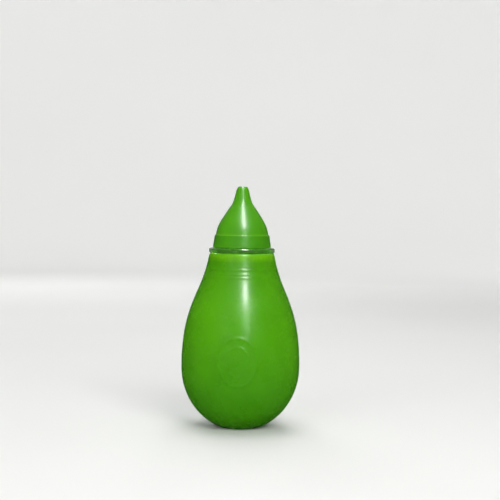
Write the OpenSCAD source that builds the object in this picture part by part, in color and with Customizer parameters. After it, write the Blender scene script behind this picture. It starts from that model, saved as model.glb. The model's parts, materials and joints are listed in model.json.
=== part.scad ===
// Nasal aspirator: a soft squeeze bulb, a hard air collar pushed into its neck,
// and a soft nose tip over the collar's spigot.
// Millimetres, +Z up. The origin is the centre of the foot, on the plane the
// bulb stands on. The thumb presses from the -Y side, the fingers from +Y.

/* [Bulb] */
// Radius of the bulb at its widest
bulb_r = 22.7; // [21.7:0.05:23.7]
// Height of the widest ring above the foot
belly_z = 23.5; // [22.5:0.25:25]
// Height of the mouth, where the collar's flange seats
mouth_z = 67.2; // [66.2:0.1:69.2]
// Radius of the neck at the mouth
neck_r = 12.52; // [12.3:0.02:12.9]
// Radius of the flat foot
foot_r = 7; // [6.6:0.1:7.6]
// How far the round bottom runs up before it turns to the side wall
bottom_fullness = 17; // [16:0.1:18]
// How far the side wall runs up straight before it turns to the shoulder
belly_fullness = 24.6; // [23.6:0.1:25.6]
// How far down from the mouth the neck keeps its direction
shoulder_length = 15.5; // [14.5:0.1:16.5]
// How much wider the neck gets over that length
shoulder_flare = 2.2; // [1.9:0.05:2.5]
// Thickness of the bulb's wall
wall = 2; // [1.8:0.1:2.2]
// Radius of the rounded lip at the mouth
lip_r = 0.8; // [0.5:0.1:1]
// Height of the push-up in the middle of the foot
push_up = 0.6; // [0.4:0.1:0.8]
// Radius of the push-up
push_up_r = 4.8; // [4.4:0.1:5.2]

/* [Neck] */
// Radius of the bore that takes the collar's plug
neck_bore_r = 10.2; // [10.1:0.05:10.3]
// Length of that bore below the mouth
neck_bore_l = 10.6; // [10.4:0.1:11]

/* [Pressed walls] */
// Radius of the round of wall that a finger pushes in
press_r = 10; // [9:0.5:10.5]
// Height of its centre
press_z = 26; // [25:0.5:27]
// Gap round it, so that it can move
press_gap = 0.15; // [0.1:0.05:0.3]

/* [Collar] */
// Radius of the flange between bulb and tip
flange_r = 12.65; // [12.4:0.05:12.9]
// Thickness of the flange
flange_t = 1.9; // [1.7:0.1:2.1]
// Rounding of the flange's rim
flange_round = 0.55; // [0.4:0.05:0.7]
// Radius of the plug between its sealing ribs
plug_r = 9.3; // [9.1:0.05:9.5]
// Length of the plug below the flange
plug_l = 9.8; // [9.6:0.1:10]
// Wall thickness of the plug
plug_wall = 1.5; // [1.2:0.1:1.7]
// Number of sealing ribs
rib_n = 3; // [3:1:3]
// Spacing of the sealing ribs
rib_step = 2.7; // [2.6:0.1:2.8]
// Running clearance of ribs and bead in their bores
run_gap = 0.05; // [0.03:0.01:0.08]
// Radius of the spigot that the tip sits on
spigot_r = 8.25; // [8.15:0.05:8.3]
// Height of the spigot above the flange
spigot_h = 4.5; // [4.4:0.1:4.6]
// Radius of the air way through the spigot
air_r = 6.6; // [6.2:0.1:6.8]

/* [Soft tip] */
// Radius of the skirt where it meets the flange
skirt_r = 11.2; // [11:0.05:11.4]
// Radius at the top of the skirt
skirt_top_r = 10.45; // [10.4:0.05:10.6]
// Height of the skirt
skirt_h = 5; // [4.9:0.05:5.1]
// Radius of the cone just above the ledge
cone_r = 10.08; // [9.98:0.02:10.12]
// Radius of the socket that goes over the spigot
socket_r = 8.7; // [8.6:0.05:8.75]
// Height of the whole tip above the flange
tip_h = 23.7; // [23.2:0.1:24.6]
// Radius of the nose end
nose_r = 2.42; // [2.32:0.02:2.6]
// Radius of the suction hole
port_r = 1.05; // [0.9:0.05:1.15]
// Length of the suction hole before it widens
port_l = 5; // [4.6:0.1:5.2]
// Thickness of the cone's wall
tip_wall = 1.7; // [1.5:0.1:1.8]

/* [Hidden] */
$fn = 96;
seat = 0.02; // hair gap between faces that rest on each other
flange_top = mouth_z + flange_t;
spigot_top = flange_top + spigot_h;

// ---- Curves: all sections are [radius, height] points ----
// Point on the cubic curve with four control points, t from 0 to 1
function bezier(ctrl, t) =
    pow(1 - t, 3) * ctrl[0] + 3 * pow(1 - t, 2) * t * ctrl[1]
    + 3 * (1 - t) * t * t * ctrl[2] + pow(t, 3) * ctrl[3];
function tangent(ctrl, t) =
    3 * pow(1 - t, 2) * (ctrl[1] - ctrl[0]) + 6 * (1 - t) * t * (ctrl[2] - ctrl[1])
    + 3 * t * t * (ctrl[3] - ctrl[2]);
// The curve's point moved by depth to its left, the inside of an outline going up
function inset_point(ctrl, t, depth) =
    let (along = tangent(ctrl, t))
    bezier(ctrl, t) + depth / norm(along) * [-along[1], along[0]];
// Points number from..n of a curve cut into n steps
function curve(ctrl, n, depth = 0, from = 0) =
    [for (i = [from:n]) inset_point(ctrl, i / n, depth)];
function reversed(points) = [for (i = [len(points) - 1:-1:0]) points[i]];
// n + 1 points on an arc
function arc(centre, radius, start, end, n) =
    [for (i = [0:n])
        let (angle = start + (end - start) * i / n)
        centre + radius * [cos(angle), sin(angle)]];

// ---- Bulb ----
lower_steps = 20;
upper_steps = 28;
push_up_top_r = push_up_r - 1.2;
bore_chamfer = 0.35;
belly = [bulb_r, belly_z];
lower = [[foot_r, 0], [foot_r + 2.4, 0], [bulb_r, belly_z - bottom_fullness], belly];
upper = [belly, [bulb_r, belly_z + belly_fullness],
         [neck_r + shoulder_flare, mouth_z - shoulder_length], [neck_r, mouth_z - lip_r]];

// The cavity follows the wall up to cavity_top, then the throat narrows to the neck bore
neck_base = mouth_z - neck_bore_l;
cavity_top = neck_base - 7.5;
upper_inner = [for (q = curve(upper, upper_steps, wall, 1)) if (q[1] < cavity_top) q];
cavity_end = upper_inner[len(upper_inner) - 1];
throat = [cavity_end, cavity_end + [-1.4, 3.2],
          [neck_bore_r, neck_base - 3.4], [neck_bore_r, neck_base]];

module bulb_skin() rotate_extrude() polygon(concat(
    [[0, push_up], [push_up_top_r, push_up], [push_up_r, 0]],
    curve(lower, lower_steps),
    curve(upper, upper_steps, from = 1),
    arc([neck_r - lip_r, mouth_z - lip_r], lip_r, 18, 90, 4),
    [[neck_bore_r + bore_chamfer, mouth_z], [neck_bore_r, mouth_z - bore_chamfer]],
    reversed(curve(throat, 6, from = 1)),
    reversed(upper_inner),
    reversed(curve(lower, lower_steps, wall)),
    [[push_up_top_r, wall + push_up], [0, wall + push_up]]));

// ---- Pressed walls ----
thumb_side = -1;
finger_side = 1;
press_cut_y = 12; // the cutting cylinder starts inside the cavity
press_cut_l = 16; // and ends outside the wall

// A cylinder along Y through the side wall
module press_cut(side, radius)
    translate([0, side * press_cut_y, press_z])
        rotate([-90 * side, 0, 0])
            cylinder(h = press_cut_l, r = radius);

module pressed_wall(side) intersection() {
    bulb_skin();
    press_cut(side, press_r);
}

module bulb() color([0.32, 0.62, 0.05]) difference() {
    bulb_skin();
    press_cut(thumb_side, press_r + press_gap);
    press_cut(finger_side, press_r + press_gap);
}

module thumb_wall() color([0.36, 0.68, 0.07]) pressed_wall(thumb_side);

module finger_wall() color([0.36, 0.68, 0.07]) pressed_wall(finger_side);

// ---- Collar ----
flange_base = mouth_z + seat;
flange_round_r = flange_r - flange_round; // centre of the rim's rounding
plug_base = mouth_z - plug_l;
plug_bore_r = plug_r - plug_wall;
first_rib_z = plug_base + 1.9;
rib_r = neck_bore_r - run_gap;
bead_r = socket_r - run_gap;
bead_z = flange_top + 2.3;

// One sealing rib going up: a sloped lead-in, a short land, then a steep shoulder
function rib(z) = [
    [plug_r, z - 0.95], [rib_r - 0.12, z - 0.12], [rib_r, z],
    [rib_r, z + 0.22], [rib_r - 0.14, z + 0.42], [plug_r, z + 0.55]];

// Bead round the spigot, as [how far inside bead_r, height from bead_z]
bead_rows = [[bead_r - spigot_r, -0.55], [0.1, -0.25], [0, 0], [0.1, 0.25],
             [bead_r - spigot_r, 0.55]];

module collar() color([0.74, 0.84, 0.70]) rotate_extrude() polygon(concat(
    // plug
    [[plug_bore_r, plug_base], [plug_r - 0.5, plug_base],
     [plug_r - 0.15, plug_base + 0.25], [plug_r, plug_base + 0.6]],
    [for (i = [0:rib_n - 1], q = rib(first_rib_z + i * rib_step)) q],
    // flange
    [[plug_r, flange_base], [flange_round_r, flange_base]],
    arc([flange_round_r, flange_base + flange_round], flange_round, -72, 0, 4),
    arc([flange_round_r, flange_top - flange_round], flange_round, 0, 90, 5),
    // spigot
    [[spigot_r, flange_top]],
    [for (row = bead_rows) [bead_r - row[0], bead_z + row[1]]],
    [[spigot_r, spigot_top - 0.5], [spigot_r - 0.15, spigot_top - 0.15],
     [spigot_r - 0.5, spigot_top]],
    // air way, widening down to the plug's bore
    [[air_r + 0.3, spigot_top], [air_r, spigot_top - 0.3],
     [air_r, flange_top - 0.6], [plug_bore_r, flange_top - 2.2]]));

// ---- Soft tip ----
cone_steps = 16;
nose_steps = 14;
tip_base = flange_top + seat;
ledge_z = flange_top + skirt_h;
tip_top = flange_top + tip_h;
socket_top = spigot_top + 0.1;
port_z = tip_top - port_l;

// Heights on the cone are given for a cone 18.5 high and stretched to the real one
cone_stretch = (tip_h - skirt_h) / 18.5;
function cone_z(height) = ledge_z + height * cone_stretch;

// Cone and nose meet at the waist, both along the same slope
waist = [5.4, cone_z(9.74)];
waist_angle = 56.84;
waist_slope = [-cos(waist_angle), sin(waist_angle)];
nose_end = [nose_r, cone_z(16.7)];
cone = [[cone_r, ledge_z], [cone_r - 0.55, cone_z(3.65)], waist - 5.27 * waist_slope, waist];
nose = [waist, waist + 2.21 * waist_slope, [nose_r + 1.25, cone_z(11.1)], nose_end];
crown = [nose_end, [nose_r - 0.25, cone_z(17.85)], [nose_r - 0.65, tip_top],
         [port_r + 0.1, tip_top]];

// The inner wall keeps clear of the socket's roof and of the suction hole
cone_inner = [for (q = curve(cone, cone_steps, tip_wall)) if (q[1] > socket_top + 0.4) q];
nose_inner = [for (q = curve(nose, nose_steps, tip_wall, 1))
    if (q[1] < port_z - 0.8 && q[0] > port_r + 0.25) q];

module soft_tip() color([0.34, 0.66, 0.09]) rotate_extrude() polygon(concat(
    // skirt, up to the ledge
    [[socket_r + 0.3, tip_base], [skirt_r - 0.35, tip_base],
     [skirt_r - 0.08, tip_base + 0.12], [skirt_r, tip_base + 0.4],
     [skirt_top_r + 0.28, ledge_z - 1.9], [skirt_top_r, ledge_z - 0.28],
     [skirt_top_r - 0.1, ledge_z - 0.06], [skirt_top_r - 0.26, ledge_z]],
    curve(cone, cone_steps),
    curve(nose, nose_steps, from = 1),
    curve(crown, 6, from = 1),
    // suction hole, then down the inside to the socket
    [[port_r + 0.03, tip_top - 0.08], [port_r, tip_top - 0.3], [port_r, port_z]],
    reversed(nose_inner),
    reversed(cone_inner),
    [[socket_r - 0.75, socket_top + 0.05], [socket_r, socket_top], [socket_r, tip_base + 0.3]]));

bulb();
thumb_wall();
finger_wall();
collar();
soft_tip();
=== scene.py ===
"""Soft squeeze bulb with a clear collar and a soft nozzle tip, standing upright on a pale floor.

The axis is +Z and the foot stands at z = 0. The thumb's side faces -Y, towards the camera, and
the fingers' side faces +Y. Lengths of the product are in millimetres and become metres through
MM; the stage, lights and camera are in metres.
"""

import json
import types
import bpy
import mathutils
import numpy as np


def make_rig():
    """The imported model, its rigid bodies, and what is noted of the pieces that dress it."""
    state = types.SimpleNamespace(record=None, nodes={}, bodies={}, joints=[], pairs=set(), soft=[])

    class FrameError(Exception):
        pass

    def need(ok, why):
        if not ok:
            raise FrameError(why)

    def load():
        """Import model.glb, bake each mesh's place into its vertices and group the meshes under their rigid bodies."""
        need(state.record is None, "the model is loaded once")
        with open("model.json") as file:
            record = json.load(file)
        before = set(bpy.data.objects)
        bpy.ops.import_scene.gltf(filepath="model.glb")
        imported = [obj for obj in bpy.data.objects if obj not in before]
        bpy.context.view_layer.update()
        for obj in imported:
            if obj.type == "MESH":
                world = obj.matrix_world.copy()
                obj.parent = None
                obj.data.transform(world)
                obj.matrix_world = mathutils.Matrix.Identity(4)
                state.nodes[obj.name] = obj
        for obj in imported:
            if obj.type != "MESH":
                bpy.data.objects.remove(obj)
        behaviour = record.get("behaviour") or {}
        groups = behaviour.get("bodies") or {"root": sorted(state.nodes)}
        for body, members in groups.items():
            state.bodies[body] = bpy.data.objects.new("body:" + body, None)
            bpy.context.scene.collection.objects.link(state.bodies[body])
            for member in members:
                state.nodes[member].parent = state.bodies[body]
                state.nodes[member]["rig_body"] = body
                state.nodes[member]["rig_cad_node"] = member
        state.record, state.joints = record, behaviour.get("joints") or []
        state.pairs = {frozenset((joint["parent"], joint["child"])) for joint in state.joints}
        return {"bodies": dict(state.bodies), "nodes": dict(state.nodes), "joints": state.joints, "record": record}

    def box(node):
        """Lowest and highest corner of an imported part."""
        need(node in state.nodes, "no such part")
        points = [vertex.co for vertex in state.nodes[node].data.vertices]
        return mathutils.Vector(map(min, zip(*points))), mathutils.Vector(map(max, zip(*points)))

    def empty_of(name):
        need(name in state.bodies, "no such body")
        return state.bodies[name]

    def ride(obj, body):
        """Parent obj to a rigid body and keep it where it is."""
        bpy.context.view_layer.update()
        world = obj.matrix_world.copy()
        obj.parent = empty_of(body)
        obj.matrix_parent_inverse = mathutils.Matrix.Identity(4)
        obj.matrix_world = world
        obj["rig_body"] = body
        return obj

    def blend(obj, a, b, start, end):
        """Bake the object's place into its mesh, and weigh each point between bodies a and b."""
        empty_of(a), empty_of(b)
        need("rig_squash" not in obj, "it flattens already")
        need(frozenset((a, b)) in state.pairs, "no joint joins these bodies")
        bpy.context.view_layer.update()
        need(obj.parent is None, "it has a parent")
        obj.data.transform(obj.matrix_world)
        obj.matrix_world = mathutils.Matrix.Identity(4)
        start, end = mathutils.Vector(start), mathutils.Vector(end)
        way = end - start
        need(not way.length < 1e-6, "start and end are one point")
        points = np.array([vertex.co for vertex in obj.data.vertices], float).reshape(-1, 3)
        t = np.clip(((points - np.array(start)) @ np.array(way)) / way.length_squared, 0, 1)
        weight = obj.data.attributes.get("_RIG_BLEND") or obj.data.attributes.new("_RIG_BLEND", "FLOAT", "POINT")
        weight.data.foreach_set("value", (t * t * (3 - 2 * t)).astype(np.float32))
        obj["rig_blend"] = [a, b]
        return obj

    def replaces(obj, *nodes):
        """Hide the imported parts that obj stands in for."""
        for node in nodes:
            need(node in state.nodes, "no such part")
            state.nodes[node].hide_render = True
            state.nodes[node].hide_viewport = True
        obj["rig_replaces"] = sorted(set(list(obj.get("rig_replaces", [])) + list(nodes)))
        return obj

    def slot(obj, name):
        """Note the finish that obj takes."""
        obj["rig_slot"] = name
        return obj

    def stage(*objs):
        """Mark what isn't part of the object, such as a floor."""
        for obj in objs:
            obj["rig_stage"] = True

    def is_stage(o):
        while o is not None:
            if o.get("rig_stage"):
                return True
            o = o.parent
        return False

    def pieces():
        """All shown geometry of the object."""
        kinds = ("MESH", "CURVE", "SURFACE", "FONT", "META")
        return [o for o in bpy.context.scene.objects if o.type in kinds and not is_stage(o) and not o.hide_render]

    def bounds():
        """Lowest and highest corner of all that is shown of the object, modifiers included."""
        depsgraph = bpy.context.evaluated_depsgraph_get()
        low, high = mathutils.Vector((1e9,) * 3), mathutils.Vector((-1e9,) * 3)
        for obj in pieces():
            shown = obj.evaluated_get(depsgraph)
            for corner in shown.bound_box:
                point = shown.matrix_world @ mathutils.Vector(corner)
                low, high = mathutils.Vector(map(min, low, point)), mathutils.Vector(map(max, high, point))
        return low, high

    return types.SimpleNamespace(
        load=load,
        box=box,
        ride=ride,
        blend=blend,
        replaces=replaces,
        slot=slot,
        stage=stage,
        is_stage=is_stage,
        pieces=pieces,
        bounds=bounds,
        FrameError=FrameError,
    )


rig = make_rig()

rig.load()

import json
import math

import bpy
import numpy as np
from mathutils import Matrix, Vector

cad_lo, cad_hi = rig.bounds()
MM = 0.001


def box_mm(body):
    """Low and high corners of a CAD body, in mm."""
    return [np.array(corner) * 1000 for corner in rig.box(body)]


# ------------------------------------------------------------------ driving sizes (mm)
_, bulb_hi = box_mm("bulb")
collar_lo, collar_hi = box_mm("collar")
tip_lo, tip_hi = box_mm("soft_tip")
thumb_lo, thumb_hi = box_mm("thumb_wall")

BULB_R = float(bulb_hi[0])                  # widest radius of the bulb
MOUTH_Z = float(bulb_hi[2])                 # top of the bulb
FLANGE_R = float(collar_hi[0])
FLANGE_TOP = float(tip_lo[2]) - 0.02
SPIGOT_TOP = float(collar_hi[2])
TIP_TOP = float(tip_hi[2])
PRESS_Z = float(thumb_lo[2] + thumb_hi[2]) / 2      # height where thumb and fingers press
BORE_R = 10.2                               # bulb's neck bore, which grips the collar's plug


# ------------------------------------------------------------------ curve helpers
def smooth(t):
    """Smoothstep, clamped to 0..1."""
    t = np.clip(t, 0.0, 1.0)
    return t * t * (3 - 2 * t)


def ridge(distance, half_width):
    """Soft raised line: 1 on it, 0 past its half-width."""
    return smooth(1 - np.abs(distance) / half_width)


def bezier(curve, t):
    p = np.asarray(curve, float)
    t = np.asarray(t, float)[:, None]
    return ((1 - t) ** 3 * p[0] + 3 * (1 - t) ** 2 * t * p[1]
            + 3 * (1 - t) * t * t * p[2] + t ** 3 * p[3])


def bezier_tangents(curve, t):
    p = np.asarray(curve, float)
    t = np.asarray(t, float)[:, None]
    return (3 * (1 - t) ** 2 * (p[1] - p[0]) + 6 * (1 - t) * t * (p[2] - p[1])
            + 3 * t * t * (p[3] - p[2]))


def outward(tangents):
    """Unit normals (r, z) on the right-hand side of a profile's direction."""
    unit = tangents / np.maximum(np.linalg.norm(tangents, axis=1), 1e-9)[:, None]
    return np.stack([unit[:, 1], -unit[:, 0]], 1)


def arc_lengths(points):
    return np.concatenate([[0], np.cumsum(np.linalg.norm(np.diff(points, axis=0), axis=1))])


def trace(curve, pieces, depth=0.0):
    """pieces + 1 points at even lengths along a Bezier curve, set inward by depth."""
    fine_t = np.linspace(0, 1, 600)
    length = arc_lengths(bezier(curve, fine_t))
    t = np.interp(np.linspace(0, length[-1], pieces + 1), length, fine_t)
    return bezier(curve, t) - depth * outward(bezier_tangents(curve, t))


def resample(points, step):
    """A polyline with no piece longer than step, keeping every corner."""
    out = [np.asarray(points[0], float)]
    for a, b in zip(points[:-1], points[1:]):
        a, b = np.asarray(a, float), np.asarray(b, float)
        count = max(1, int(math.ceil(np.linalg.norm(b - a) / step - 1e-6)))
        out += [a + (b - a) * k / count for k in range(1, count + 1)]
    return np.array(out)


def fillet(before, corner, after, radius):
    """Points of the arc that replaces a corner, or the corner itself if it needs no arc."""
    to_before, to_after = before - corner, after - corner
    len_before, len_after = np.linalg.norm(to_before), np.linalg.norm(to_after)
    if len_before < 1e-9 or len_after < 1e-9:
        return []
    to_before, to_after = to_before / len_before, to_after / len_after
    angle = math.acos(float(np.clip(to_before @ to_after, -1, 1)))
    if radius <= 0 or math.pi - angle < math.radians(3):
        return [corner]
    cut = min(radius / math.tan(angle / 2), 0.49 * len_before, 0.49 * len_after)
    radius = cut * math.tan(angle / 2)
    bisector = (to_before + to_after) / np.linalg.norm(to_before + to_after)
    centre = corner + bisector * (radius / math.sin(angle / 2))
    first, last = corner + to_before * cut, corner + to_after * cut
    start = math.atan2(*(first - centre)[::-1])
    end = math.atan2(*(last - centre)[::-1])
    sweep = (end - start + math.pi) % (2 * math.pi) - math.pi
    count = max(3, int(math.ceil(abs(math.degrees(sweep)) / 14.0)))
    turns = [start + sweep * k / count for k in range(count + 1)]
    return [centre + radius * np.array([math.cos(turn), math.sin(turn)]) for turn in turns]


def rounded(corners, step, closed=True):
    """Profile through corners (r, z, fillet radius), filleted and cut into short pieces."""
    at = [np.array(corner[:2], float) for corner in corners]
    count = len(at)
    points = []
    for i in range(count):
        if not closed and i in (0, count - 1):
            points.append(at[i])
        else:
            points += fillet(at[i - 1], at[i], at[(i + 1) % count], corners[i][2])
    if closed:
        points.append(points[0])
    points = resample(points, step)
    gaps = np.linalg.norm(np.diff(points, axis=0), axis=1)
    points = points[np.concatenate([[True], gaps > 1e-5])]
    return points[:-1] if closed else points


# ------------------------------------------------------------------ mesh helpers
def new_object(name, verts, faces):
    mesh = bpy.data.meshes.new(name)
    mesh.from_pydata(verts.tolist(), [], faces)
    mesh.validate()
    mesh.update()
    mesh.polygons.foreach_set("use_smooth", [True] * len(mesh.polygons))
    mesh.set_sharp_from_angle(angle=math.radians(38))
    ob = bpy.data.objects.new(name, mesh)
    bpy.context.scene.collection.objects.link(ob)
    # each point remembers its place at rest, so the grain stays on the surface when it bends
    rest = np.zeros(len(mesh.vertices) * 3, np.float32)
    mesh.vertices.foreach_get("co", rest)
    mesh.attributes.new("rest_co", "FLOAT_VECTOR", "POINT").data.foreach_set("vector", rest)
    return ob


def around(radius, z, angle, side=-1):
    """Points in metres round the axis; angle 0 is at -Y for side -1 and at +Y for side +1."""
    parts = np.broadcast_arrays(radius * np.sin(angle), side * radius * np.cos(angle), z)
    return np.stack(parts, -1) * MM


def revolve(name, profile, segments, relief):
    """Ring of revolution from a closed profile that goes up the outside.

    relief(radius, z, angle, normal_r) gives the outward shift in mm."""
    count = len(profile)
    angle = (np.arange(segments) * 2 * math.pi / segments)[:, None]
    normal_r, normal_z = outward(np.roll(profile, -1, axis=0) - np.roll(profile, 1, axis=0)).T
    radius, z = profile.T
    shift = relief(radius, z, angle, normal_r)
    verts = around(radius + shift * normal_r, z + shift * normal_z, angle).reshape(-1, 3)
    faces = []
    for i in range(segments):
        here, there = i * count, (i + 1) % segments * count
        for k in range(count):
            k2 = (k + 1) % count
            faces.append((here + k, there + k, there + k2, here + k2))
    return new_object(name, verts, faces)


# ------------------------------------------------------------------ bulb
NECK_R = 12.52 * BULB_R / 22.7
NECK_BASE = MOUTH_Z - 10.6
FOOT_R = 7.0                    # where the foot's flat meets the flank
HOLLOW_R, HOLLOW_H = 4.8, 0.6   # shallow hollow under the foot
BELLY_Z = 23.5                  # height of the widest ring
WALL = 2.0
LIP_R = 0.8                     # rounding of the mouth's outer edge
BORE_TOP = MOUTH_Z - 0.45
# flank as Bezier control points (r, z), and the lengths that set the number of rings
LOWER = [[FOOT_R, 0], [FOOT_R + 2.4, 0], [BULB_R, BELLY_Z - 17.0], [BULB_R, BELLY_Z]]
UPPER = [[BULB_R, BELLY_Z], [BULB_R, BELLY_Z + 24.6],
         [NECK_R + 2.2, MOUTH_Z - 15.5], [NECK_R, MOUTH_Z - LIP_R]]
LOWER_LEN, UPPER_LEN = 30.5, 47.0

SEAM_H, SEAM_HALF = 0.13, 0.42  # parting line's height and half-width on the flank
FOOT_SEAM_H = 0.2               # its height under the foot
NECK_RINGS = ((61.2, 0.13), (59.5, 0.09), (58.2, 0.09))     # (z, height)
NECK_RING_HALF = 0.42
OVAL_HALF_W, OVAL_HALF_H = 7.2, 9.0     # thumb rest's outer oval
OVAL_SHIFT, OVAL_RISE = 1.0, 1.4        # its centre: towards -X, and above PRESS_Z
EDGE_COLUMNS = [0.0, 0.22, 0.45, 0.75, 1.15]    # crowded columns, measured from the seam
FIRST_MID_COLUMN = 1.7

# reach of the press over the wall
GIVE_DEPTH = 11.0               # nothing nearer the parting plane than this moves
GIVE_CORE = 4.0                 # half-height that moves fully
GIVE_ABOVE, GIVE_BELOW = 27.0, 19.0     # fade lengths beyond it


def bulb_profiles(step):
    """Matched outer and inner profiles from the middle of the foot up, and the lip."""
    foot = rounded([(0, HOLLOW_H, 0), (HOLLOW_R - 1.4, HOLLOW_H, 1.2),
                    (HOLLOW_R + 0.1, 0, 0.5), (FOOT_R, 0, 0)], step=step * 1.6, closed=False)
    foot_in = foot.copy()
    foot_in[:, 1] = WALL + HOLLOW_H * (1 - smooth((foot[:, 0] - 3.0) / (FOOT_R - 3.0)))
    lower_count, upper_count = int(LOWER_LEN / step), int(UPPER_LEN / step)
    lower, upper = trace(LOWER, lower_count), trace(UPPER, upper_count)
    lower_in, upper_in = trace(LOWER, lower_count, WALL), trace(UPPER, upper_count, WALL)

    # near the top the inside leaves the even wall and curves into the straight bore
    k = int(np.searchsorted(upper_in[:, 1], NECK_BASE - 7.5))
    end = upper_in[k]
    throat = bezier([end, end + [-1.4, 3.2], [BORE_R, NECK_BASE - 3.4], [BORE_R, NECK_BASE]],
                    np.linspace(0, 1, 60))
    throat = np.vstack([throat, [[BORE_R, BORE_TOP]]])
    z = np.interp(upper[k:, 1], [upper[k, 1], upper[-1, 1]], [end[1], BORE_TOP])
    upper_in[k:] = np.stack([np.interp(z, throat[:, 1], throat[:, 0]), z], 1)

    a = np.radians(np.array([22, 40, 58, 74, 90]))
    lip_centre_r = NECK_R - LIP_R
    lip_arc = np.stack([lip_centre_r + LIP_R * np.cos(a),
                        MOUTH_Z - LIP_R + LIP_R * np.sin(a)], 1)
    lip_flat = [[(lip_centre_r + BORE_R) / 2 + 0.2, MOUTH_Z], [BORE_R + 0.5, MOUTH_Z],
                [BORE_R + 0.24, MOUTH_Z - 0.06], [BORE_R + 0.07, MOUTH_Z - 0.22]]
    return (np.vstack([foot, lower[1:], upper[1:]]),
            np.vstack([foot_in, lower_in[1:], upper_in[1:]]),
            np.vstack([lip_arc, lip_flat]))


def thumb_rest(across, up):
    """Two oval rings round a shallow dish, as height in mm."""
    oval = np.sqrt((across / OVAL_HALF_W) ** 2 + (up / OVAL_HALF_H) ** 2)
    mean_r = (OVAL_HALF_W + OVAL_HALF_H) / 2
    outer_ring = 0.19 * ridge((oval - 1) * mean_r, 0.8)
    inner_ring = 0.12 * ridge((oval - 0.62) * mean_r, 0.65)
    dish = -0.10 * smooth((1 - oval) / 0.5)
    return outer_ring + inner_ring + dish


def bulb_relief(outer, angle, side):
    """Height in mm of the parting line, neck rings and thumb rest over the outer skin."""
    radius, z = outer.T
    to_seam = (math.pi / 2 - np.abs(angle)) * radius
    height = (SEAM_H * smooth(1 - to_seam / SEAM_HALF) * smooth((z - 0.6) / 2.0)
              * (z < MOUTH_Z - 0.9))
    for ring_z, ring_h in NECK_RINGS:
        height = height + ring_h * ridge(z - ring_z, NECK_RING_HALF)
    to_plane = np.abs(radius * np.cos(angle))
    height = height + (FOOT_SEAM_H * smooth(1 - to_plane / SEAM_HALF)
                       * (radius < HOLLOW_R - 1.2) * (z < HOLLOW_H + 0.01))
    if side < 0:
        length = arc_lengths(outer)
        flank = radius > FOOT_R
        rest_at = float(np.interp(PRESS_Z + OVAL_RISE, z[flank], length[flank]))
        height = height + thumb_rest(radius * angle + OVAL_SHIFT, length - rest_at)
    return height


def press_share(z, depth):
    """How far a point follows the pressed wall: a broad oval, more the further it stands out."""
    stand = smooth((depth - GIVE_DEPTH) / (BULB_R - GIVE_DEPTH))
    tall = np.where(z > PRESS_Z, smooth(1 - (z - PRESS_Z - GIVE_CORE) / GIVE_ABOVE),
                    smooth(1 - (PRESS_Z - GIVE_CORE - z) / GIVE_BELOW))
    return stand * tall


def index_grid(first, rows, columns):
    return first + np.arange(rows * columns).reshape(rows, columns)


def bulb_half(name, side, segments, step):
    """Half of the bulb's skin, closed along the parting plane, and its press weights.

    side -1 is the thumb's half (-Y), +1 the fingers' (+Y)."""
    outer, inner, lip = bulb_profiles(step)
    kept = list(range(0, len(outer) - 1, 2)) + [len(outer) - 1]
    inner = inner[kept]                     # the inside has half as many rings
    edge = np.array(EDGE_COLUMNS) / BULB_R
    first_mid = FIRST_MID_COLUMN / BULB_R
    middle = np.linspace(first_mid, math.pi - first_mid, segments - 9)
    angles = np.concatenate([edge, middle, math.pi - edge[::-1]]) - math.pi / 2
    angle = angles[:, None]                 # 0 at the middle of the half
    columns = len(angles)

    # points: outer pole, inner pole, then outer, inner and lip column by column
    relief = bulb_relief(outer, angle, side)
    normal_r, normal_z = outward(np.gradient(outer, axis=0)).T
    skin = around(outer[:, 0] + relief * normal_r, outer[:, 1] + relief * normal_z, angle, side)
    poles = np.array([[0, 0, outer[0, 1] - FOOT_SEAM_H], [0, 0, inner[0, 1]]]) * MM
    lining = around(inner[:, 0], inner[:, 1], angle, side)
    mouth = around(lip[:, 0], lip[:, 1], angle, side)
    verts = np.vstack([poles, skin[:, 1:].reshape(-1, 3), lining[:, 1:].reshape(-1, 3),
                       mouth.reshape(-1, 3)])

    outer_ids = np.hstack([np.zeros((columns, 1), int),
                           index_grid(2, columns, len(outer) - 1)])
    inner_ids = np.hstack([np.ones((columns, 1), int),
                           index_grid(outer_ids.max() + 1, columns, len(inner) - 1)])
    lip_ids = index_grid(inner_ids.max() + 1, columns, len(lip))
    # up the outside, over the lip and on to the inside's last ring
    over = np.hstack([outer_ids, lip_ids, inner_ids[:, -1:]]).tolist()
    within = inner_ids.tolist()

    faces = []
    for i in range(columns - 1):
        a, b = over[i], over[i + 1]
        faces.append((a[0], b[1], a[1]))
        faces += [(a[k], b[k], b[k + 1], a[k + 1]) for k in range(1, len(a) - 1)]
        a, b = within[i], within[i + 1]
        faces.append((a[0], a[1], b[1]))
        faces += [(a[k], a[k + 1], b[k + 1], b[k]) for k in range(1, len(a) - 1)]
    for i, turn in ((0, 1), (columns - 1, -1)):     # the wall's two cut strips
        for j in range(len(inner) - 1):
            ring = over[i][kept[j]:kept[j + 1] + 1] + [within[i][j + 1], within[i][j]]
            faces.append(tuple(ring[::turn]))
        faces.append(tuple(over[i][len(outer) - 1:][::turn]))
    if side > 0:
        faces = [face[::-1] for face in faces]

    # both faces of the wall take the outer face's weight, so that it keeps its thickness
    share = press_share(outer[:, 1], outer[:, 0] * np.cos(angle))
    weights = np.concatenate([[0, 0], share[:, 1:].ravel(), share[:, kept[1:]].ravel(),
                              np.zeros(lip_ids.size)])      # poles and lip stay still
    return new_object(name, verts, faces), weights


def press_with(ob, weights, body, side):
    """Lets a half of the bulb follow its pressed wall, weighted by the press share."""
    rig.slot(ob, "bulb_soft")
    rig.blend(ob, "bulb", body, start=(0, 0, PRESS_Z * MM),
             end=(0, side * BULB_R * MM, PRESS_Z * MM))
    weight_data = ob.data.attributes["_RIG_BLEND"].data
    weight_data.foreach_set("value", weights.astype(np.float32))


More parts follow.
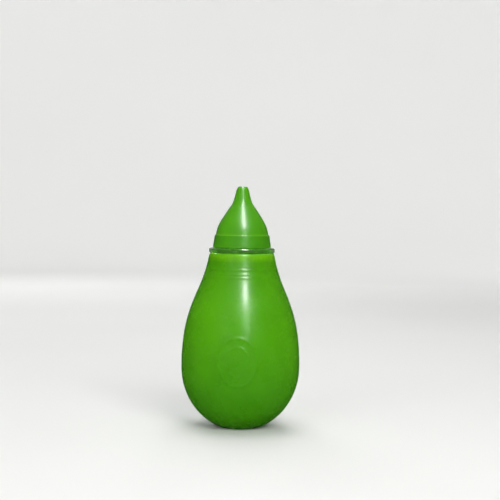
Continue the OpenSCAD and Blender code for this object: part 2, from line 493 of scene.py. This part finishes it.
front, front_weights = bulb_half("bulb_front_skin", side=-1, segments=237, step=0.38)
back, back_weights = bulb_half("bulb_back_skin", side=1, segments=189, step=0.46)

# ------------------------------------------------------------------ collar
PLUG_R, PLUG_BOTTOM = 9.3, float(collar_lo[2])
PLUG_BORE_R = 7.8
PLUG_TOP = MOUTH_Z + 0.02           # the flange's underside
RIB_R = BORE_R - 0.05
RIB_COUNT, RIB_PITCH, FIRST_RIB = 3, 2.7, 1.9
SPIGOT_R, SPIGOT_BORE_R = 8.25, 6.6
BEAD_R, BEAD_Z = 8.65, FLANGE_TOP + 2.3


def collar_profile():
    """Ribbed plug, flange and beaded spigot round a stepped bore."""
    corners = [(PLUG_BORE_R, PLUG_BOTTOM, 0.3), (PLUG_R - 0.28, PLUG_BOTTOM, 0.5),
               (PLUG_R, PLUG_BOTTOM + 0.7, 0.6)]
    for k in range(RIB_COUNT):
        z = PLUG_BOTTOM + FIRST_RIB + RIB_PITCH * k
        corners += [(PLUG_R, z - 0.95, 0.25), (RIB_R, z - 0.05, 0.12),
                    (RIB_R, z + 0.32, 0.12), (PLUG_R, z + 0.55, 0.12)]
    corners += [
        (PLUG_R, PLUG_TOP, 0.18), (FLANGE_R, PLUG_TOP, 0.5),
        (FLANGE_R, FLANGE_TOP, 0.55), (SPIGOT_R, FLANGE_TOP, 0.2),
        (SPIGOT_R, BEAD_Z - 0.6, 0.15), (BEAD_R, BEAD_Z - 0.16, 0.2),
        (BEAD_R, BEAD_Z + 0.16, 0.2), (SPIGOT_R, BEAD_Z + 0.6, 0.15),
        (SPIGOT_R, SPIGOT_TOP, 0.45), (SPIGOT_BORE_R, SPIGOT_TOP, 0.35),
        (SPIGOT_BORE_R, FLANGE_TOP - 0.6, 0.6), (PLUG_BORE_R, FLANGE_TOP - 2.2, 0.5),
    ]
    return rounded(corners, step=0.34)


def collar_relief(radius, z, angle, normal_r):
    """Moulding line round the middle of the flange's rim."""
    middle = (PLUG_TOP + FLANGE_TOP) / 2
    return 0.05 * ridge(z - middle, 0.14) * (radius > FLANGE_R - 0.2)


collar = revolve("collar_moulding", collar_profile(), 176, collar_relief)
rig.slot(collar, "collar_clear")
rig.ride(collar, "collar")

# ------------------------------------------------------------------ soft tip
SKIRT_R, SKIRT_BOTTOM = float(tip_hi[0]), FLANGE_TOP + 0.02
LEDGE_Z = FLANGE_TOP + 5.0          # step between skirt and cone
STRETCH = (TIP_TOP - LEDGE_Z) / 18.5    # fits the 18.5 mm high design to the tip
TIP_WALL = 1.7
PORT_R, PORT_LEN = 1.05, 5.0        # straight hole at the top
PORT_EDGE = TIP_TOP - 0.42          # where the hole's rounded edge ends
PORT_BOTTOM = TIP_TOP - PORT_LEN
SOCKET_R, SOCKET_TOP = 8.7, SPIGOT_TOP + 0.1
SKIRT_EDGE = (SOCKET_R + 0.6, SKIRT_BOTTOM, 0)
# outline as Bezier control points (r, z); cone and nose share the slope at the waist
WAIST = np.array([5.4, LEDGE_Z + 9.74 * STRETCH])
SLOPE = math.radians(56.84)
SLOPE_DIR = np.array([math.cos(SLOPE), math.sin(SLOPE)])
NOSE_END = [2.42, LEDGE_Z + 16.7 * STRETCH]
CONE = [[10.08, LEDGE_Z], [9.53, LEDGE_Z + 3.65 * STRETCH],
        WAIST + 5.27 * SLOPE_DIR * [1, -1], WAIST]
NOSE = [WAIST, WAIST + 2.21 * SLOPE_DIR * [-1, 1], [3.67, LEDGE_Z + 11.1 * STRETCH], NOSE_END]
CROWN = [NOSE_END, [2.17, LEDGE_Z + 17.85 * STRETCH], [1.77, TIP_TOP], [1.36, TIP_TOP - 0.01]]


def tip_profile():
    """Up the outside from the skirt's edge, down the port and back along the inside."""
    skirt = rounded([SKIRT_EDGE, (SKIRT_R, SKIRT_BOTTOM, 0.45), (10.73, LEDGE_Z - 1.9, 6.0),
                     (10.45, LEDGE_Z, 0.24), (10.08, LEDGE_Z, 0.14),
                     (10.02, LEDGE_Z + 0.4, 0)], step=0.3, closed=False)
    cone = trace(CONE, 48)
    cone = cone[cone[:, 1] > LEDGE_Z + 0.42]
    nose = trace(NOSE, 40)[1:]
    crown = trace(CROWN, 11)[1:]
    port_edge = [[1.24, TIP_TOP - 0.05], [1.14, TIP_TOP - 0.12],
                 [1.07, TIP_TOP - 0.24], [PORT_R, PORT_EDGE]]
    port = resample([[PORT_R, PORT_EDGE], [PORT_R, PORT_BOTTOM]], 0.5)[1:]
    nose_in = trace(NOSE, 26, TIP_WALL)
    below_port = (nose_in[:, 1] < PORT_BOTTOM - 0.8) & (nose_in[:, 0] > PORT_R + 0.25)
    nose_in = nose_in[below_port][::-1]
    cone_in = trace(CONE, 30, TIP_WALL)
    cone_in = cone_in[cone_in[:, 1] > SOCKET_TOP + 0.5][::-1][1:]
    socket = rounded([tuple(cone_in[-1]) + (0,), (SOCKET_R - 0.78, SOCKET_TOP + 0.05, 0.15),
                      (SOCKET_R, SOCKET_TOP, 0.12), (SOCKET_R, SKIRT_BOTTOM + 0.45, 0.3),
                      SKIRT_EDGE], step=0.4, closed=False)[1:-1]
    return np.vstack([skirt, cone, nose, crown, port_edge, port, nose_in, cone_in, socket])


def tip_relief(radius, z, angle, normal_r):
    """Fine parting line down both sides of the cone and skirt, on the outside only."""
    to_seam = np.abs(np.cos(angle)) * radius
    outside = (normal_r > 0.2) & (z > SKIRT_BOTTOM + 0.5) & (z < TIP_TOP - 1.2)
    return 0.07 * smooth(1 - to_seam / 0.34) * outside


soft_tip = revolve("soft_tip_moulding", tip_profile(), 240, tip_relief)
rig.slot(soft_tip, "tip_soft")
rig.ride(soft_tip, "soft_tip")


# ------------------------------------------------------------------ node helpers
def new_material(name):
    material = bpy.data.materials.new(name)
    material.use_nodes = True
    material.node_tree.nodes.clear()
    return material, material.node_tree


def node(tree, kind, output, inputs=None, **settings):
    """Adds a node and returns the named output; an input takes a value or a socket to link."""
    made = tree.nodes.new(kind)
    for key, value in settings.items():
        setattr(made, key, value)
    for key, value in (inputs or {}).items():
        if isinstance(value, bpy.types.NodeSocket):
            tree.links.new(value, made.inputs[key])
        else:
            made.inputs[key].default_value = value
    return made.outputs[output] if output else None


def noise(tree, vector, scale, detail=2.0, roughness=0.5):
    return node(tree, "ShaderNodeTexNoise", "Fac", {
        "Vector": vector, "Scale": scale, "Detail": detail, "Roughness": roughness})


def ramp(tree, value, stops):
    """Colour ramp through stops (position, rgb)."""
    made = tree.nodes.new("ShaderNodeValToRGB")
    elements = made.color_ramp.elements
    while len(elements) < len(stops):
        elements.new(0.5)
    for element, (position, rgb) in zip(elements, stops):
        element.position = position
        element.color = (*rgb, 1)
    tree.links.new(value, made.inputs["Fac"])
    return made.outputs["Color"]


def map_range(tree, value, source, target=(0.0, 1.0), interpolation="LINEAR"):
    return node(tree, "ShaderNodeMapRange", "Result", {
        "Value": value, "From Min": source[0], "From Max": source[1],
        "To Min": target[0], "To Max": target[1]}, interpolation_type=interpolation)


def math_node(tree, operation, *values):
    return node(tree, "ShaderNodeMath", "Value", dict(enumerate(values)), operation=operation)


def mix_colour(tree, factor, a, b, blend="MIX"):
    return node(tree, "ShaderNodeMix", "Result", {"Factor": factor, "A": a, "B": b},
                data_type="RGBA", blend_type=blend)


def bump(tree, height, distance, strength, **linked):
    return node(tree, "ShaderNodeBump", "Normal", {
        "Height": height, "Distance": distance, "Strength": strength, **linked})


def split_xyz(tree, vector):
    made = tree.nodes.new("ShaderNodeSeparateXYZ")
    tree.links.new(vector, made.inputs["Vector"])
    return made.outputs


def rest_position(tree):
    return node(tree, "ShaderNodeAttribute", "Vector", attribute_name="rest_co")


# ------------------------------------------------------------------ materials
def soft_plastic(name, pigment, roughness, sss, sss_radius, grain, wave, seed, painted_light_tones):
    """Pigmented soft plastic: cloudy colour, satin skin, fine grain and slow waviness, with painted shade and
    highlights along its height.

    pigment holds the deep, middle and light colours; the list of (z in mm, tint) paints shade and highlights into the
    colour along the piece; seed shifts the noise."""
    material, tree = new_material(name)
    rest = rest_position(tree)
    place = node(tree, "ShaderNodeVectorMath", "Vector",
                 {0: rest, 1: (seed, seed * 0.7, -seed * 0.3)}, operation="ADD")

    cloud = ramp(tree, noise(tree, place, scale=55.0), list(zip((0.28, 0.5, 0.74), pigment)))
    speck = ramp(tree, noise(tree, place, scale=2600.0),
                 [(0.34, (0.86, 0.86, 0.86)), (0.62, (1.0, 1.0, 1.0))])
    speckled = mix_colour(tree, 0.35, cloud, speck, blend="MULTIPLY")
    z0, z1 = painted_light_tones[0][0], painted_light_tones[-1][0]
    height = map_range(tree, split_xyz(tree, rest)["Z"], (z0 * MM, z1 * MM))
    # painted shade and highlights: the colour is multiplied by the tints listed along the height
    tone = ramp(tree, height, [((z - z0) / (z1 - z0), tint) for z, tint in painted_light_tones])
    colour = mix_colour(tree, 1.0, speckled, tone, blend="MULTIPLY")

    smear = map_range(tree, noise(tree, place, scale=120.0, detail=3.0),
                      (0.3, 0.75), (roughness - 0.03, roughness + 0.05))
    fine = noise(tree, place, scale=900.0, detail=3.0, roughness=0.6)
    waves = bump(tree, noise(tree, place, scale=85.0), distance=0.0004, strength=wave)
    grains = bump(tree, noise(tree, place, scale=1500.0), distance=0.00003, strength=grain,
                  Normal=waves)
    bsdf = node(tree, "ShaderNodeBsdfPrincipled", "BSDF", {
        "Base Color": colour,
        "Roughness": math_node(tree, "MULTIPLY_ADD", fine, 0.06, smear),
        "Normal": grains,
        "IOR": 1.49,
        "Specular IOR Level": 0.27,
        "Subsurface Weight": sss,
        "Subsurface Radius": sss_radius,
        "Subsurface Scale": 0.001,
    })
    node(tree, "ShaderNodeOutputMaterial", None, {"Surface": bsdf})
    return material


def painted_bounce_mask(tree, rest):
    """Mask for the painted green light in the flange: 1 in the middle of the flange seen edge-on, 0 at its two ends
    and on the spigot.
    """
    xyz = split_xyz(tree, rest)
    flat = node(tree, "ShaderNodeCombineXYZ", "Vector", {"X": xyz["X"], "Y": xyz["Y"]})
    radial = node(tree, "ShaderNodeVectorMath", "Vector", {0: flat}, operation="NORMALIZE")
    view = node(tree, "ShaderNodeNewGeometry", "Incoming")
    dot = node(tree, "ShaderNodeVectorMath", "Value", {0: radial, 1: view},
               operation="DOT_PRODUCT")
    facing = map_range(tree, math_node(tree, "ABSOLUTE", dot), (0.16, 0.6),
                       interpolation="SMOOTHSTEP")
    above_mouth = map_range(tree, xyz["Z"], ((MOUTH_Z - 1.6) * MM, (MOUTH_Z - 0.2) * MM),
                            interpolation="SMOOTHSTEP")
    below_spigot = map_range(tree, xyz["Z"], ((FLANGE_TOP + 0.7) * MM, (FLANGE_TOP + 0.05) * MM),
                             interpolation="SMOOTHSTEP")
    core = math_node(tree, "MULTIPLY", facing, above_mouth)
    return math_node(tree, "MULTIPLY", core, below_spigot)


def clear_plastic(name):
    """Translucent hard plastic with a green cast, flow clouds and a fine haze, and painted green light in the flange's
    middle.
    """
    material, tree = new_material(name)
    rest = rest_position(tree)

    def clouds(thin, thick):
        fac = noise(tree, rest, scale=210.0, detail=3.0)
        return ramp(tree, fac, [(0.3, thin), (0.75, thick)])

    # painted green light: the flange's middle is painted with the green that the mouth and the skirt around it cast
    # into it and show through it
    colour = mix_colour(tree, painted_bounce_mask(tree, rest),
                        clouds((0.80, 0.89, 0.72), (0.88, 0.94, 0.82)),
                        clouds((0.19, 0.72, 0.05), (0.26, 0.80, 0.09)))
    haze = map_range(tree, noise(tree, rest, scale=500.0, detail=3.0), (0.3, 0.7), (0.16, 0.24))
    bsdf = node(tree, "ShaderNodeBsdfPrincipled", "BSDF", {
        "Base Color": colour,
        "Roughness": haze,
        "Normal": bump(tree, noise(tree, rest, scale=900.0), distance=0.00005, strength=0.12),
        "IOR": 1.49,
        "Transmission Weight": 0.82,
    })
    volume = node(tree, "ShaderNodeVolumeAbsorption", "Volume",
                  {"Color": (0.45, 0.80, 0.33, 1), "Density": 60.0})
    node(tree, "ShaderNodeOutputMaterial", None, {"Surface": bsdf, "Volume": volume})
    return material


# (z in mm, tint): painted shade and highlights along each piece. The bulb is painted darker towards the foot and under
# the neck, with a painted highlight on the mouth's lip.
BULB_PAINTED_LIGHT_TONES = [
    (0, (0.62, 0.74, 0.7)), (14, (0.66, 0.78, 0.8)),
    (38, (0.93, 0.95, 0.9)), (49, (0.98, 0.98, 0.95)),
    (MOUTH_Z - 7.5, (0.86, 0.88, 0.9)), (MOUTH_Z - 3.4, (0.82, 0.84, 0.9)),
    (MOUTH_Z - 0.9, (1.70, 1.25, 1.6)), (MOUTH_Z, (1.3, 1.1, 1.2)),
]
# the tip: painted highlights at the skirt's lower edge, on the ledge and faintly at the crown, and painted shade on
# the skirt
TIP_PAINTED_LIGHT_TONES = [
    (FLANGE_TOP, (1.15, 1.05, 1.4)), (FLANGE_TOP + 0.9, (0.78, 0.86, 0.8)),
    (LEDGE_Z - 0.5, (0.78, 0.87, 0.8)), (LEDGE_Z + 0.1, (1.5, 1.16, 1.8)),
    (LEDGE_Z + 0.8, (1.0, 1.0, 1.0)), (TIP_TOP - 4, (1.0, 1.0, 1.0)),
    (TIP_TOP, (1.1, 1.04, 1.0)),
]
bulb_material = soft_plastic(
    "bulb_soft_vinyl",
    pigment=((0.067, 0.312, 0.0008), (0.078, 0.345, 0.0010), (0.088, 0.372, 0.0015)),
    roughness=0.24, sss=0.20, sss_radius=(1.0, 1.9, 0.3),
    grain=0.12, wave=0.13, seed=0.31, painted_light_tones=BULB_PAINTED_LIGHT_TONES)
tip_material = soft_plastic(
    "tip_soft_silicone",
    pigment=((0.062, 0.298, 0.003), (0.073, 0.332, 0.004), (0.084, 0.358, 0.006)),
    roughness=0.28, sss=0.30, sss_radius=(1.2, 2.2, 0.4),
    grain=0.16, wave=0.10, seed=1.73, painted_light_tones=TIP_PAINTED_LIGHT_TONES)
collar_material = clear_plastic("collar_natural_plastic")
for ob, material in ((front, bulb_material), (back, bulb_material),
                     (collar, collar_material), (soft_tip, tip_material)):
    ob.data.materials.append(material)

# ------------------------------------------------------------------ motion and CAD stand-ins
press_with(front, front_weights, "thumb_wall", side=-1)
press_with(back, back_weights, "finger_wall", side=1)
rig.replaces(front, "bulb", "thumb_wall")
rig.replaces(back, "bulb", "finger_wall")
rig.replaces(collar, "collar")
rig.replaces(soft_tip, "soft_tip")

# ------------------------------------------------------------------ stage (m)
FLOOR_R, FLOOR_BEND_R, FLOOR_TOP = 1.1, 0.5, 1.7
FLOOR_SEGMENTS = 96


def paper():
    material, tree = new_material("studio_paper")
    place = node(tree, "ShaderNodeTexCoord", "Object")
    colour = ramp(tree, noise(tree, place, scale=3.0),
                  [(0.3, (0.765, 0.765, 0.75)), (0.7, (0.795, 0.795, 0.78))])
    # the far wall stands outside the lamps' reach, so the lens sees it lifted to the floor's tone
    distance = node(tree, "ShaderNodeVectorMath", "Value", {0: place}, operation="LENGTH")
    far = map_range(tree, distance, (0.50, 1.22), (0.0, 0.36), interpolation="SMOOTHSTEP")
    seen = node(tree, "ShaderNodeLightPath", "Is Camera Ray")
    bsdf = node(tree, "ShaderNodeBsdfPrincipled", "BSDF", {
        "Base Color": colour,
        "Roughness": 0.85,
        "Specular IOR Level": 0.15,
        "Emission Color": (1.0, 1.0, 0.985, 1),
        "Emission Strength": math_node(tree, "MULTIPLY", far, seen),
    })
    node(tree, "ShaderNodeOutputMaterial", None, {"Surface": bsdf})
    return material


def stage_bowl():
    """Pale round floor that curves up into a wall all round."""
    profile = [(r, 0.0) for r in np.linspace(0.1, FLOOR_R, 9)]
    profile += [(FLOOR_R + FLOOR_BEND_R * math.sin(a), FLOOR_BEND_R - FLOOR_BEND_R * math.cos(a))
                for a in np.linspace(0, math.pi / 2, 17)[1:]]
    profile += [(FLOOR_R + FLOOR_BEND_R, z) for z in np.linspace(FLOOR_BEND_R, FLOOR_TOP, 7)[1:]]
    count = len(profile)
    verts, faces = [(0, 0, 0)], []
    for i in range(FLOOR_SEGMENTS):
        a = 2 * math.pi * i / FLOOR_SEGMENTS
        verts += [(r * math.cos(a), r * math.sin(a), z) for r, z in profile]
        here, there = 1 + i * count, 1 + (i + 1) % FLOOR_SEGMENTS * count
        faces.append((0, here, there))
        faces += [(here + k, here + k + 1, there + k + 1, there + k) for k in range(count - 1)]
    mesh = bpy.data.meshes.new("studio_floor")
    mesh.from_pydata(verts, [], faces)
    mesh.polygons.foreach_set("use_smooth", [True] * len(mesh.polygons))
    ob = bpy.data.objects.new("studio_floor", mesh)
    bpy.context.scene.collection.objects.link(ob)
    mesh.materials.append(paper())
    ob.visible_glossy = False       # the product's skin mirrors the lamps, not the paper
    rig.stage(ob)


stage_bowl()


# ------------------------------------------------------------------ lights (m, W)
def area(name, at, aim_z, size, power, colour=(1, 1, 1), mirrored=False):
    """Area light aimed at the axis; it shows only in reflections if mirrored, else never."""
    light = bpy.data.lights.new(name, "AREA")
    light.shape = "RECTANGLE"
    light.size, light.size_y = size
    light.energy = power
    light.color = colour
    ob = bpy.data.objects.new(name, light)
    bpy.context.scene.collection.objects.link(ob)
    aim = (Vector((0, 0, aim_z)) - Vector(at)).to_track_quat("-Z", "Y")
    ob.matrix_world = Matrix.Translation(Vector(at)) @ aim.to_matrix().to_4x4()
    ob.visible_glossy = mirrored
    ob.visible_diffuse = ob.visible_transmission = not mirrored


SQUARE = (0.45, 0.45)
area("light_key", at=(0.30, -0.80, 0.55), aim_z=0.05, size=SQUARE, power=5.3,
     colour=(1.0, 0.99, 0.965))
area("light_fill", at=(-0.42, -0.72, 0.34), aim_z=0.05, size=SQUARE, power=1.9,
     colour=(0.98, 0.99, 1.0))
area("light_top", at=(0.0, 0.20, 1.10), aim_z=0.0, size=(0.9, 0.9), power=5.0)
area("light_back", at=(-0.27, 0.80, 0.50), aim_z=0.05, size=SQUARE, power=1.7,
     colour=(0.99, 0.99, 1.0))
# narrow lamps draw the upright streaks and broad ones a soft sheen: name, place, size, power
for name, at, size, power in (
        ("light_strip", (0.066, -0.302, 0.574), (0.042, 0.46), 12.0),
        ("light_strip_low", (0.118, -0.535, 0.304), (0.042, 0.28), 0.7),
        ("light_soft", (0.10, -0.75, 0.42), (0.30, 0.50), 0.48),
        ("light_back_strip", (0.060, 0.30, 0.50), (0.042, 0.46), 7.5),
        ("light_back_soft", (-0.12, 0.75, 0.42), (0.30, 0.50), 0.65)):
    area(name, at, aim_z=0.06, size=size, power=power, mirrored=True)


def studio_world():
    """Even room light, with a dimmer sky that brightens upwards for reflections."""
    world = bpy.data.worlds.new("studio_world")
    bpy.context.scene.world = world
    world.use_nodes = True
    tree = world.node_tree
    tree.nodes.clear()
    room = node(tree, "ShaderNodeBackground", "Background",
                {"Color": (0.94, 0.96, 1.0, 1), "Strength": 0.32})
    direction = node(tree, "ShaderNodeTexCoord", "Generated")
    upward = map_range(tree, split_xyz(tree, direction)["Z"], (-0.1, 0.9), (0.02, 0.13),
                       interpolation="SMOOTHSTEP")
    mirror = node(tree, "ShaderNodeBackground", "Background", {"Strength": upward})
    glossy = node(tree, "ShaderNodeLightPath", "Is Glossy Ray")
    mixed = node(tree, "ShaderNodeMixShader", "Shader", {"Fac": glossy, 1: room, 2: mirror})
    node(tree, "ShaderNodeOutputWorld", None, {"Surface": mixed})
    world.cycles.sampling_method = "NONE"


studio_world()

# ------------------------------------------------------------------ camera and render (m)
CAMERA_DIST = 0.480
VIEW_WIDTH = 0.193                  # width of the frame at the product's axis
VIEW_X, VIEW_Z = 0.00313, 0.06835   # where the line of sight meets the plane y = 0
CAMERA_DOWN = math.radians(2.0)
CAMERA_ROLL = math.radians(0.8)     # the product leans a little to the right in the frame

scene = bpy.context.scene
lens = bpy.data.cameras.new("camera")
camera = bpy.data.objects.new("camera", lens)
scene.collection.objects.link(camera)
scene.camera = camera
lens.sensor_width = 36.0
lens.lens = lens.sensor_width * CAMERA_DIST / VIEW_WIDTH
lens.clip_start, lens.clip_end = 0.01, 10
camera_at = (VIEW_X, -CAMERA_DIST * math.cos(CAMERA_DOWN),
             VIEW_Z + CAMERA_DIST * math.sin(CAMERA_DOWN))
camera.matrix_world = (Matrix.Translation(camera_at)
                       @ Matrix.Rotation(math.radians(90) - CAMERA_DOWN, 4, "X")
                       @ Matrix.Rotation(CAMERA_ROLL, 4, "Z"))

scene.view_settings.view_transform = "Standard"
scene.view_settings.look = "None"
scene.view_settings.exposure = 0.0
scene.cycles.use_denoising = True

# ------------------------------------------------------------------ sizes
vis_lo, vis_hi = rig.bounds()
try:
    with open("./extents.json", "w") as f:
        json.dump({"cad_box_m": [list(map(float, cad_lo)), list(map(float, cad_hi))],
                   "visual_box_m": [list(map(float, vis_lo)), list(map(float, vis_hi))]}, f)
except OSError:     # the folder may be missing or read-only
    pass
